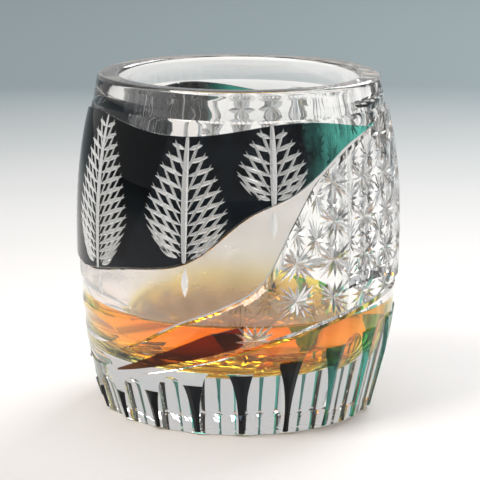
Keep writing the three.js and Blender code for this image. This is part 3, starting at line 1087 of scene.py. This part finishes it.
class CUP_OT_sky_casing(bpy.types.Operator):
    """Lay the dark sky from one side of the mountain round to the other and cut the trees"""

    bl_idname = "cup.sky_casing"
    bl_label = "Sky casing"

    def execute(self, context):
        ends = (MOUNTAIN_AZIMUTH + SKY_START, MOUNTAIN_AZIMUTH + 360.0 - SKY_START)
        sky = cased_plate("sky_casing", ends, sky_edge_height, sky_high, SKY_GRID, dark_casing())
        cut(sky, slope_cutter(clear_crystal()), sky_edge_cutter(clear_crystal()))
        cut(sky, *tree_cutters(ground_crystal(), on_casing=True))
        finish_piece(keep_largest(sky), "casing", "casing_sky")
        return {"FINISHED"}


def lens_low(azimuth):
    return river_height(azimuth) + RIVER_HALF_WIDTH


def lens_high(azimuth):
    share = (LENS_END - from_mountain(azimuth)) / (LENS_END - LENS_GROW_END)
    width = LENS_TIP_WIDTH + (LENS_WIDTH - LENS_TIP_WIDTH) * min(share, 1.0)
    return lens_low(azimuth) + width


class CUP_OT_lens_casings(bpy.types.Operator):
    """Lay the two narrow lenses of casing above the river"""

    bl_idname = "cup.lens_casings"
    bl_label = "Lens casings"

    def execute(self, context):
        for side, label in ((-1, "front"), (1, "back")):
            ends = sorted((MOUNTAIN_AZIMUTH + side * LENS_START,
                           MOUNTAIN_AZIMUTH + side * LENS_END))
            lens = cased_plate(f"lens_casing_{label}", ends, lens_low, lens_high, LENS_GRID,
                               lens_casing())
            cut(lens, river_cutter(clear_crystal()), *star_cutters(star_crystal()))
            finish_piece(lens, "casing", f"casing_lens_{label}")
        return {"FINISHED"}


class CUP_OT_ridge_casings(bpy.types.Operator):
    """Leave a sliver of casing on each ridge between two flutes"""

    bl_idname = "cup.ridge_casings"
    bl_label = "Ridge casings"

    def execute(self, context):
        strips = []
        for azimuth in ridge_azimuths():
            ends = (azimuth - RIDGE_HALF_ANGLE, azimuth + RIDGE_HALF_ANGLE)
            top = flute_height(azimuth) - RIDGE_TOP_DROP
            strips.append(cased_plate("ridge", ends, lambda at: RIDGE_FOOT,
                                      lambda at, top=top: top, RIDGE_GRID, dark_casing()))
        ridges = joined("ridge_casings", strips)
        cut_flutes(ridges)
        nodes = [f"casing_ridge_{i:02d}" for i in range(1, FLUTES + 1)]
        finish_piece(ridges, "casing", *nodes)
        return {"FINISHED"}


# ---- the drink ----

# The drink reaches a little into the glass, so that no film of air shows between them.
DRINK_OVERLAP = 0.03 * MM
MENISCUS_REACH = 2.6 * MM
MENISCUS_STEPS = 8
DRINK_TURN_STEPS = 192


class CUP_OT_drink(bpy.types.Operator):
    """Pour the amber drink into the bottom of the cup"""

    bl_idname = "cup.drink"
    bl_label = "Drink"

    def execute(self, context):
        look = context.scene.cup_drink
        wall = [(radius + DRINK_OVERLAP if radius else 0.0, z - DRINK_OVERLAP)
                for radius, z in cup_profile(look.level + look.meniscus)]
        surface = []
        for i in range(MENISCUS_STEPS + 1):
            share = i / MENISCUS_STEPS
            radius = wall[0][0] - MENISCUS_REACH * (1 - share)
            surface.append((radius, look.level + look.meniscus * share ** 3 - DRINK_OVERLAP))
        flat = look.level - DRINK_OVERLAP
        middle = [(0.0, flat), (surface[0][0] / 2, flat)]
        drink = turned("amber_drink", middle + surface + wall[1:], DRINK_TURN_STEPS)
        drink.data.materials.append(amber_drink())
        finish_piece(drink, None)
        return {"FINISHED"}


# ---- the stage ----

STUDIO_RADIUS = 2.5
FLOOR_GAP = 0.1 * MM  # keeps the floor off the foot, so that their faces don't coincide
# Where the pale floor turns to the painted shade far from the cup.
FLOOR_PAINTED_SHADE_FADE = (0.08, 0.45)
FLOOR_MOTTLE = 0.05
FLOOR_MOTTLE_SCALE = 9.0
FLOOR_ROUGHNESS = 0.55
LIGHT_AIM = Vector((0.0, 0.0, 0.03))
KEY_PLACE = (-0.55, -0.35, 0.8)
KEY_SIZE = (0.5, 0.5)
KEY_COLOUR = (1.0, 0.98, 0.95)
BACK_PLACE = (0.45, 0.75, 0.65)
BACK_SIZE = (0.6, 0.5)
BACK_COLOUR = (0.95, 0.98, 1.0)
ROOM_COLOUR = (0.84, 0.85, 0.86, 1.0)
GLASS_BOUNCES = 32


def floor_finish():
    """Pale by the cup and greyer away from it, alike on all sides, with a slow mottle: the greying
    is painted shade, the light falling off across a plain pale floor.
    """
    look = bpy.context.scene.cup_stage
    finish = bpy.data.materials.new("Pale studio floor")
    finish.use_nodes = True
    tree = finish.node_tree
    shader = tree.nodes["Principled BSDF"]
    shader.inputs["Roughness"].default_value = FLOOR_ROUGHNESS
    place = node(tree, "ShaderNodeTexCoord", (-1100, 0))
    away = node(tree, "ShaderNodeVectorMath", (-900, 0))
    away.operation = "LENGTH"
    tree.links.new(place.outputs["Object"], away.inputs[0])
    # Painted shade: the floor greys away from the cup.
    fade = node(tree, "ShaderNodeValToRGB", (-500, 0))
    near, far = fade.color_ramp.elements
    near.position, near.color = FLOOR_PAINTED_SHADE_FADE[0], (*look.floor_colour, 1.0)
    far.position, far.color = FLOOR_PAINTED_SHADE_FADE[1], (*look.far_painted_shade_colour, 1.0)
    mottle = node(tree, "ShaderNodeTexNoise", (-900, -250), Scale=FLOOR_MOTTLE_SCALE, Detail=2.0)
    tree.links.new(place.outputs["Object"], mottle.inputs["Vector"])
    sway = node(tree, "ShaderNodeMath", (-700, 0))
    sway.operation = "MULTIPLY_ADD"
    tree.links.new(mottle.outputs["Fac"], sway.inputs[0])
    sway.inputs[1].default_value = FLOOR_MOTTLE
    tree.links.new(away.outputs["Value"], sway.inputs[2])
    tree.links.new(sway.outputs["Value"], fade.inputs["Fac"])
    tree.links.new(fade.outputs["Color"], shader.inputs["Base Color"])
    return finish


def add_softbox(name, place, size, power, colour):
    """An area light that looks at the cup."""
    deselect_all()
    bpy.ops.object.light_add(type="AREA", location=place)
    lamp = bpy.context.object
    lamp.name = name
    lamp.data.shape = "RECTANGLE"
    lamp.data.size, lamp.data.size_y = size
    lamp.data.energy = power
    lamp.data.color = colour
    aim = LIGHT_AIM - Vector(place)
    lamp.rotation_euler = aim.to_track_quat("-Z", "Y").to_euler()


class CUP_OT_stage(bpy.types.Operator):
    """Set the floor, the soft lights and the camera"""

    bl_idname = "cup.stage"
    bl_label = "Stage"

    def execute(self, context):
        look = context.scene.cup_stage
        deselect_all()
        bpy.ops.mesh.primitive_circle_add(vertices=96, radius=STUDIO_RADIUS, fill_type="NGON")
        floor = context.object
        floor.name = floor.data.name = "studio_floor"
        floor.location.z = -FLOOR_GAP
        floor.data.materials.append(floor_finish())
        add_softbox("key_light", KEY_PLACE, KEY_SIZE, look.key_power, KEY_COLOUR)
        add_softbox("back_light", BACK_PLACE, BACK_SIZE, look.fill_power, BACK_COLOUR)
        world = bpy.data.worlds.new("Studio room")
        world.use_nodes = True
        room = world.node_tree.nodes["Background"]
        room.inputs["Color"].default_value = ROOM_COLOUR
        room.inputs["Strength"].default_value = look.room_light
        context.scene.world = world
        bpy.ops.object.camera_add()
        camera = context.object
        camera.name = "studio_camera"
        camera.matrix_world = (Matrix.Translation(CAMERA_PLACE)
                               @ Matrix.Rotation(math.radians(CAMERA_TILT), 4, "X")
                               @ Matrix.Rotation(math.radians(CAMERA_ROLL), 4, "Z"))
        camera.data.lens = CAMERA_LENS
        camera.data.sensor_width = CAMERA_SENSOR
        camera.data.shift_x, camera.data.shift_y = CAMERA_SHIFT
        camera.data.clip_start = CAMERA_CLIP
        context.scene.camera = camera
        context.scene.view_settings.view_transform = "Standard"
        context.scene.cycles.max_bounces = GLASS_BOUNCES
        context.scene.cycles.transmission_bounces = GLASS_BOUNCES
        return {"FINISHED"}


# ---- the add-on ----


class CUP_PT_panel(bpy.types.Panel):
    """The cup's pieces and their settings"""

    bl_idname = "CUP_PT_panel"
    bl_label = "Cut crystal cup"
    bl_space_type = "VIEW_3D"
    bl_region_type = "UI"
    bl_category = "Cup"

    def draw(self, context):
        scene = context.scene
        for title, settings, operators in (
                ("Crystal", scene.cup_crystal, (CUP_OT_crystal_body,)),
                ("Casing", scene.cup_casing,
                 (CUP_OT_sky_casing, CUP_OT_lens_casings, CUP_OT_ridge_casings)),
                ("Drink", scene.cup_drink, (CUP_OT_drink,)),
                ("Stage", scene.cup_stage, (CUP_OT_stage,))):
            box = self.layout.box()
            box.label(text=title)
            for label in settings.bl_rna.properties.keys():
                if label not in {"rna_type", "name"}:
                    box.prop(settings, label)
            for operator in operators:
                box.operator(operator.bl_idname)


SETTINGS = {"cup_crystal": CupCrystal, "cup_casing": CupCasing, "cup_drink": CupDrink,
            "cup_stage": CupStage}
OPERATORS = (CUP_OT_crystal_body, CUP_OT_sky_casing, CUP_OT_lens_casings, CUP_OT_ridge_casings,
             CUP_OT_drink, CUP_OT_stage)


def register():
    for kind in (*SETTINGS.values(), *OPERATORS, CUP_PT_panel):
        bpy.utils.register_class(kind)
    for name, kind in SETTINGS.items():
        setattr(bpy.types.Scene, name, bpy.props.PointerProperty(type=kind))


def unregister():
    for name in SETTINGS:
        delattr(bpy.types.Scene, name)
    for kind in reversed((*SETTINGS.values(), *OPERATORS, CUP_PT_panel)):
        bpy.utils.unregister_class(kind)


def main():
    register()
    bpy.ops.cup.crystal_body()
    bpy.ops.cup.sky_casing()
    bpy.ops.cup.lens_casings()
    bpy.ops.cup.ridge_casings()
    bpy.ops.cup.drink()
    bpy.ops.cup.stage()
    deselect_all()


if __name__ == "__main__":
    main()
